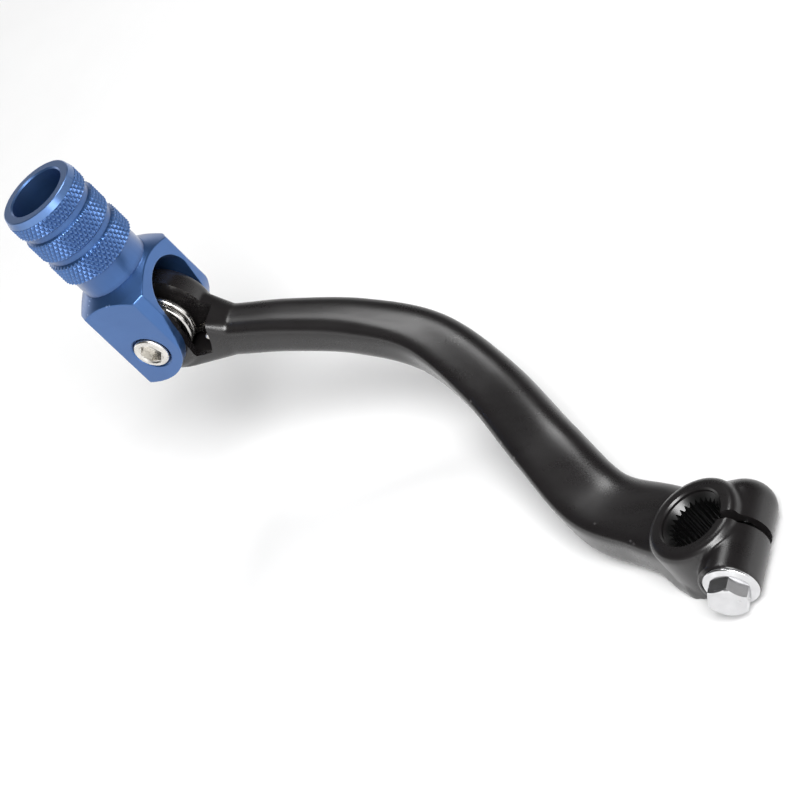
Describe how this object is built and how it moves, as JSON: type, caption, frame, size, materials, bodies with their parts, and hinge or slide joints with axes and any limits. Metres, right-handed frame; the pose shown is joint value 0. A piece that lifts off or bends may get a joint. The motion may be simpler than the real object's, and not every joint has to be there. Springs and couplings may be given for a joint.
{
  "type": "motorcycle gear shift lever",
  "caption": "Foot gear shift lever: curved arm, splined clamp hub with pinch bolt, and a folding, spring-return knurled toe tip.",
  "frame": {"origin": "on the axis of the splined bore, in the inboard face of the hub", "axes": "+Z outboard along the spline axis, away from the engine; +X towards the toe tip; +Y the way the heads of the pinch bolt and of the pivot bolt face"},
  "size_m": [0.1626, 0.0914, 0.103],
  "materials": {
    "black_anodised": "satin black anodised forging",
    "blue_anodised": "satin blue anodised, machined",
    "zinc_steel": "bright zinc plate",
    "stainless": "turned stainless",
    "bushing_steel": "turned and oiled",
    "spring_steel": "drawn stainless wire",
    "nitrile": "matt black rubber",
    "washer_polymer": "dark acetal"
  },
  "bodies": {
    "lever": {"lever_arm": "black_anodised", "pinch_bolt": "zinc_steel", "torsion_spring": "spring_steel", "o_ring_near": "nitrile", "o_ring_far": "nitrile"},
    "tip": {"toe_tip": "blue_anodised", "pivot_bolt": "stainless", "pivot_bushing": "bushing_steel", "thrust_washer_near": "washer_polymer", "thrust_washer_far": "washer_polymer"}
  },
  "joints": [
    {"name": "tip_fold", "type": "hinge", "parent": "lever", "child": "tip", "pos_m": [0.137, -0.0615, 0.0565], "axis": [0, -1, 0], "range_deg": [0, 60], "stiffness_Nm_per_rad": 0.35, "springref_deg": -51.57, "deforming": ["torsion_spring"]}
  ]
}
